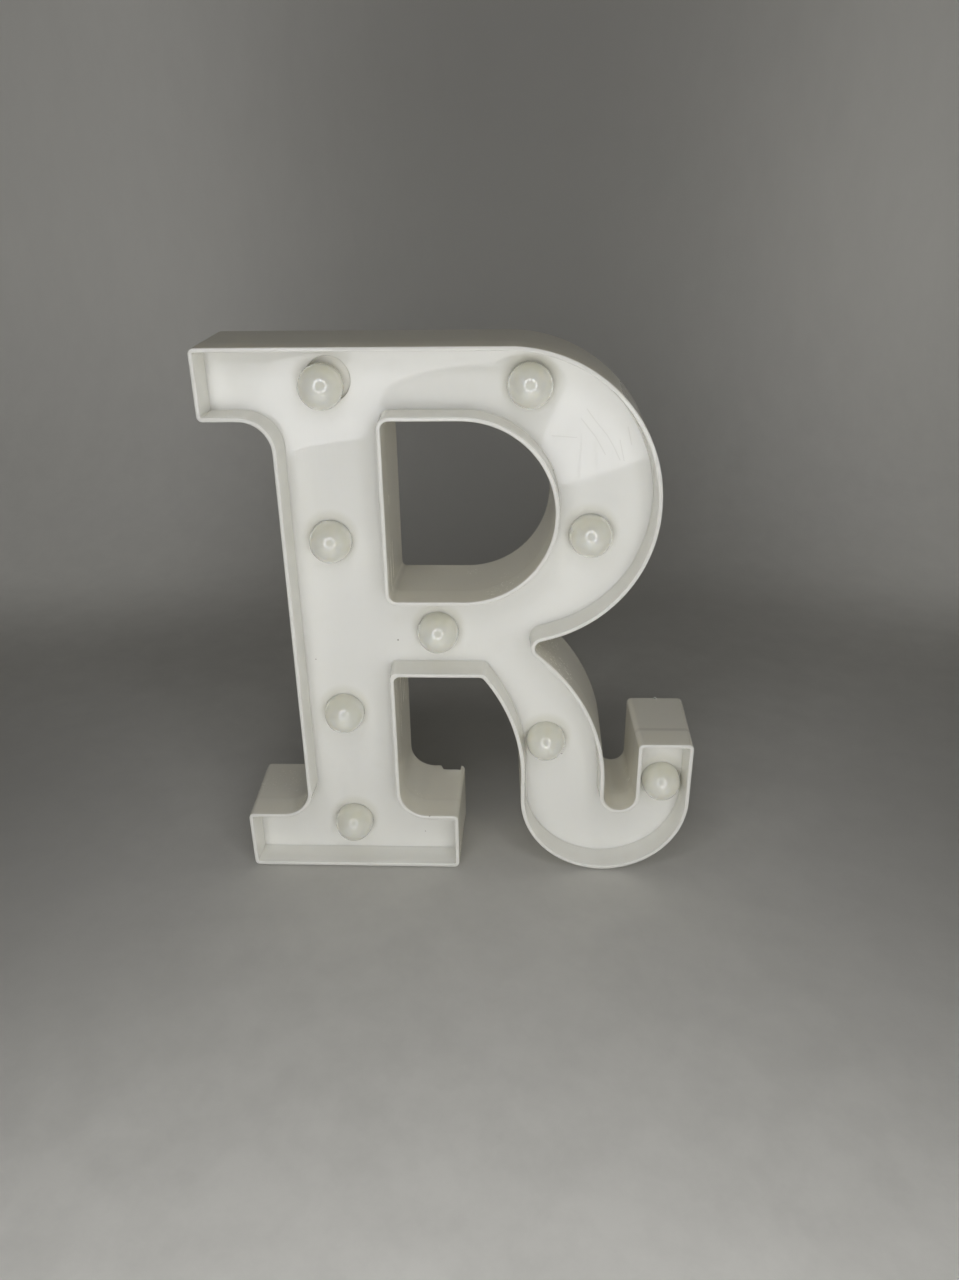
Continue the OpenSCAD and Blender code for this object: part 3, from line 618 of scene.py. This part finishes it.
COVER = textured_look("cover_plastic", (0.78, 0.775, 0.745), 0.46, 2600.0, 0.00009)
TRAY = textured_look("tray_plastic", (0.76, 0.755, 0.72), 0.40, 1800.0, 0.00004)
STEEL = metal_look("plated_steel", (0.66, 0.655, 0.63), 0.30, 900.0)
NICKEL = metal_look("nickel_spring", (0.74, 0.72, 0.67), 0.24, 700.0)
DARK = textured_look("switch_plastic", (0.055, 0.055, 0.06), 0.45, 1500.0, 0.00003)
BLACK = textured_look("knob_plastic", (0.022, 0.022, 0.025), 0.38, 2200.0, 0.00004)
LAMP = lamp_look()
RED = wire_look("red_insulation", (0.50, 0.03, 0.022))
SOOT = wire_look("black_insulation", (0.02, 0.02, 0.021))
NODE_LOOKS = {
    "back_cover": COVER, "battery_door": COVER, "battery_tray": TRAY, "cover_screws": STEEL,
    "cell_left": sleeve_look("sleeve_left", 87.5, 138.0), "cell_right": sleeve_look("sleeve_right", 133.5, 83.0),
    "bridge_contact": NICKEL, "positive_contact": NICKEL, "negative_contact": NICKEL, "contact_springs": NICKEL,
    "switch_housing": DARK, "switch_frame": STEEL, "switch_knob": BLACK, "switch_terminals": NICKEL,
    "red_wire": RED, "switch_lead": RED, "red_feed": RED, "black_wire": SOOT, "black_feed": SOOT,
}
for key in BULBS:
    NODE_LOOKS["led_" + key] = LAMP
BEVELS = {"back_cover": 0.25, "battery_door": 0.3, "battery_tray": 0.25, "switch_housing": 0.15, "switch_frame": 0.1,
          "switch_knob": 0.2, "cover_screws": 0.08, "positive_contact": 0.05, "negative_contact": 0.05,
          "bridge_contact": 0.05}
for key, look in NODE_LOOKS.items():
    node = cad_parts[key]
    node.data.materials.clear()
    node.data.materials.append(look)
    if key in BEVELS:
        weld = node.modifiers.new("weld", "WELD")
        weld.merge_threshold = 1e-6
        bev = node.modifiers.new("edge", "BEVEL")
        bev.width = BEVELS[key] * MM
        bev.segments = 3
        bev.limit_method = "ANGLE"
        bev.angle_limit = math.radians(40)
        bev.use_clamp_overlap = True
        bev.harden_normals = True

# ---------------------------------------------------------------------------
# Stage: pale sweep, ring lamp round the camera, soft fill, camera
# ---------------------------------------------------------------------------
scene = bpy.context.scene
scene.view_settings.view_transform = "Standard"
scene.view_settings.look = "None"
scene.view_settings.exposure = 0.0
scene.view_settings.gamma = 1.0

world = bpy.data.worlds.new("room")
scene.world = world
world.use_nodes = True
back = next(n for n in world.node_tree.nodes if n.type == "BACKGROUND")
back.inputs["Color"].default_value = (1.0, 0.96, 0.86, 1.0)
back.inputs["Strength"].default_value = 0.03


def rodrigues(rx, ry, rz):
    v = Vector((rx, ry, rz))
    return Matrix.Rotation(v.length, 3, v.normalized())


EYE = Vector((0.0201, -0.35181, 0.26474))
turn = rodrigues(0.434824, 0.0373157, -0.0031608) @ Matrix(((1, 0, 0), (0, 0, -1), (0, 1, 0)))
right, up, aim = Vector(turn[0]), -Vector(turn[1]), Vector(turn[2])
cam_data = bpy.data.cameras.new("camera")
cam_data.sensor_width = 36.0
cam_data.sensor_fit = "AUTO"
cam_data.lens = 941.61 * 36.0 / 1280.0
cam_data.clip_start = 0.005
cam_data.clip_end = 20.0
cam = bpy.data.objects.new("camera", cam_data)
scene.collection.objects.link(cam)
cam.matrix_world = Matrix((
    (right.x, up.x, -aim.x, EYE.x),
    (right.y, up.y, -aim.y, EYE.y),
    (right.z, up.z, -aim.z, EYE.z),
    (0, 0, 0, 1)))
scene.camera = cam


def plain_mesh(name, verts, faces, smooth=False):
    mesh = bpy.data.meshes.new(name)
    mesh.from_pydata(verts, [], faces)
    mesh.update()
    for p in mesh.polygons:
        p.use_smooth = smooth
    obj = bpy.data.objects.new(name, mesh)
    scene.collection.objects.link(obj)
    return obj


def glow(name, color, strength):
    mat = bpy.data.materials.new(name)
    mat.use_nodes = True
    mat.node_tree.nodes.clear()
    out = mat.node_tree.nodes.new("ShaderNodeOutputMaterial")
    em = mat.node_tree.nodes.new("ShaderNodeEmission")
    em.inputs["Color"].default_value = (*color, 1.0)
    em.inputs["Strength"].default_value = strength
    mat.node_tree.links.new(em.outputs[0], out.inputs["Surface"])
    return mat


# ring lamp, centred on the lens and square to the view
LAMP_IN, LAMP_OUT = 0.166, 0.242
verts, faces, fade = [], [], []
SEG = 144
for k in range(SEG):
    th = 2 * math.pi * k / SEG
    way = right * math.cos(th) + up * math.sin(th)
    # the left side of the lamp has a soft outer edge
    w = max(0.0, min(1.0, (226.0 - math.degrees(th)) / 12.0, (math.degrees(th) - 130.0) / 20.0))
    for r in (LAMP_IN, LAMP_OUT - 0.001 - 0.046 * w, LAMP_OUT + 0.055 * w):
        verts.append(EYE + way * r)
    fade += [1.0, 1.0, 1.0 - w]
for k in range(SEG):
    for m in range(2):
        a, b = 3 * k + m, 3 * ((k + 1) % SEG) + m
        faces.append((a, b, b + 1, a + 1))
lamp = plain_mesh("ring_lamp", verts, faces)
lamp.data.attributes.new("fade", "FLOAT", "POINT").data.foreach_set("value", fade)
lamp_mat = glow("lamp_glow", (1.0, 1.0, 1.035), 2.86)
tree = lamp_mat.node_tree
near_edge = tree.nodes.new("ShaderNodeAttribute")
near_edge.attribute_name = "fade"
scale = tree.nodes.new("ShaderNodeMath")
scale.operation = "MULTIPLY"
scale.inputs[1].default_value = 2.86
tree.links.new(near_edge.outputs["Fac"], scale.inputs[0])
tree.links.new(scale.outputs[0], next(n for n in tree.nodes if n.type == "EMISSION").inputs["Strength"])
lamp.data.materials.append(lamp_mat)
lamp.visible_camera = False

# low soft light from the table in front of the letter
soft = bpy.data.lights.new("table_glow", "AREA")
soft.shape = "RECTANGLE"
soft.size, soft.size_y = 0.7, 0.16
soft.energy = 0.68
soft.color = (1.0, 0.99, 0.965)
low = bpy.data.objects.new("table_glow", soft)
scene.collection.objects.link(low)
low.location = (0.02, -0.42, 0.03)
low.rotation_mode = "QUATERNION"
low.rotation_quaternion = (Vector((0.0, 0.0, 0.13)) - low.location).to_track_quat("-Z", "Y")
low.visible_camera = False
low.visible_glossy = False

# soft frontal light inside the ring
face_data = bpy.data.lights.new("front_soft", "AREA")
face_data.shape = "DISK"
face_data.size = 0.17
face_data.energy = 0.19
face_data.color = (1.0, 1.0, 1.03)
face_lamp = bpy.data.objects.new("front_soft", face_data)
scene.collection.objects.link(face_lamp)
face_lamp.location = (0.02, -0.36, 0.18)
face_lamp.rotation_mode = "QUATERNION"
face_lamp.rotation_quaternion = (Vector((0.0, 0.0, 0.10)) - face_lamp.location).to_track_quat("-Z", "Y")
face_lamp.visible_camera = False
face_lamp.visible_glossy = False

# weak broad light from the right, below the top face
side_data = bpy.data.lights.new("side_fill", "AREA")
side_data.shape = "RECTANGLE"
side_data.size, side_data.size_y = 0.6, 0.14
side_data.energy = 0.3
side_data.color = (1.0, 0.97, 0.90)
side_lamp = bpy.data.objects.new("side_fill", side_data)
scene.collection.objects.link(side_lamp)
side_lamp.location = (0.85, -0.25, 0.11)
side_lamp.rotation_mode = "QUATERNION"
side_lamp.rotation_quaternion = (Vector((0.0, 0.0, 0.11)) - side_lamp.location).to_track_quat("-Z", "Y")
side_lamp.visible_camera = False
side_lamp.visible_glossy = False

# low soft beams for the back and the left side, aimed at the letter only
def beam(name, place, at, energy, half, radius):
    data = bpy.data.lights.new(name, "SPOT")
    data.energy, data.spot_size, data.spot_blend = energy, math.radians(2 * half), 0.6
    data.shadow_soft_size = radius
    data.color = (1.0, 0.985, 0.95)
    obj = bpy.data.objects.new(name, data)
    scene.collection.objects.link(obj)
    obj.location = place
    obj.rotation_mode = "QUATERNION"
    obj.rotation_quaternion = (Vector(at) - Vector(place)).to_track_quat("-Z", "Y")
    obj.visible_camera = False
    obj.visible_glossy = False


beam("back_beam", (-0.16, 0.47, 0.045), (0.0, 0.0, 0.115), 11.0, 24.0, 0.05)
beam("back_beam_2", (0.17, 0.47, 0.045), (0.0, 0.0, 0.115), 11.0, 24.0, 0.05)

# floor that sweeps up into a backdrop
prof = [(-2.5, -0.0002), (0.28, -0.0002)]
prof += [(0.28 + 0.24 * math.sin(math.radians(a)), 0.24 - 0.2402 * math.cos(math.radians(a))) for a in range(5, 91, 5)]
prof += [(0.52, 1.8)]
verts = [(sx * 2.5, y, z) for y, z in prof for sx in (-1, 1)]
faces = [(2 * i, 2 * i + 1, 2 * i + 3, 2 * i + 2) for i in range(len(prof) - 1)]
floor = plain_mesh("floor", verts, faces, True)
fl = Look("floor_matte", (0.62, 0.61, 0.585), 0.75, Specular_IOR_Level=0.25)
fx, fy, fz = fl.axes()
tone = fl.mix(fl.span(fl.noise(6.0, 3.0), 0.3, 0.7), (0.57, 0.562, 0.522), (0.60, 0.592, 0.55))
# painted shade: the floor is darker towards both sides
aside = fl.span(fl.calc("ABSOLUTE", fl.calc("SUBTRACT", fx, 0.01)), 0.09, 0.30, 0.0, 0.45, True)
aside = fl.calc("MULTIPLY", aside, fl.span(fy, 0.0, 0.20, 1.0, 0.0, True))
tone = fl.mix(aside, tone, (0.30, 0.295, 0.275))
# painted light: the floor is lighter towards the front
tone = fl.mix(fl.span(fy, -0.07, -0.22, 0.0, 0.8, True), tone, (0.75, 0.74, 0.69))
wall_part = fl.span(fy, 0.16, 0.34, 0.0, 1.0, True)
# painted shadow: the middle of the backdrop, behind the letter, is darkened
tone = fl.mix(fl.calc("MULTIPLY", wall_part, fl.span(fl.calc("ABSOLUTE", fl.calc("SUBTRACT", fx, 0.03)), 0.03, 0.16, 0.5, 0.0, True)),
              tone, (0.30, 0.295, 0.275))
weave = fl.noise(1.0, 4.0, 0.65, fl.stretched((48.0, 48.0, 20.0), (0.0, 0.5, 0.3)))
tone = fl.mix(fl.span(weave, 0.35, 0.68, 0.0, 0.22), tone, (0.42, 0.415, 0.385))
# painted shadow: the floor just behind the letter is darkened
behind = fl.calc("MULTIPLY", fl.span(fl.calc("ABSOLUTE", fl.calc("SUBTRACT", fy, 0.07)), 0.04, 0.10, 0.5, 0.0, True),
                 fl.span(fl.calc("ABSOLUTE", fx), 0.07, 0.13, 1.0, 0.0, True))
tone = fl.mix(behind, tone, (0.25, 0.246, 0.23))
# painted light: the backdrop is lighter higher up
high = fl.calc("MULTIPLY", wall_part, fl.span(fz, 0.02, 0.20, 0.15, 0.42, True))
tone = fl.mix(high, tone, (0.88, 0.868, 0.815))
fl.to(tone, "Base Color")
# painted light: the cloth at both sides glows faintly, standing in for light from further off
far = fl.calc("MULTIPLY", wall_part, fl.span(fl.calc("ABSOLUTE", fl.calc("SUBTRACT", fx, 0.03)), 0.10, 0.34, 0.0, 0.075, True))
fl.bsdf.inputs["Emission Color"].default_value = (1.0, 0.985, 0.94, 1.0)
fl.to(far, "Emission Strength")
fl.to(fl.bump(fl.noise(900.0, 3.0), 0.15, 0.0002), "Normal")
floor.data.materials.append(fl.mat)
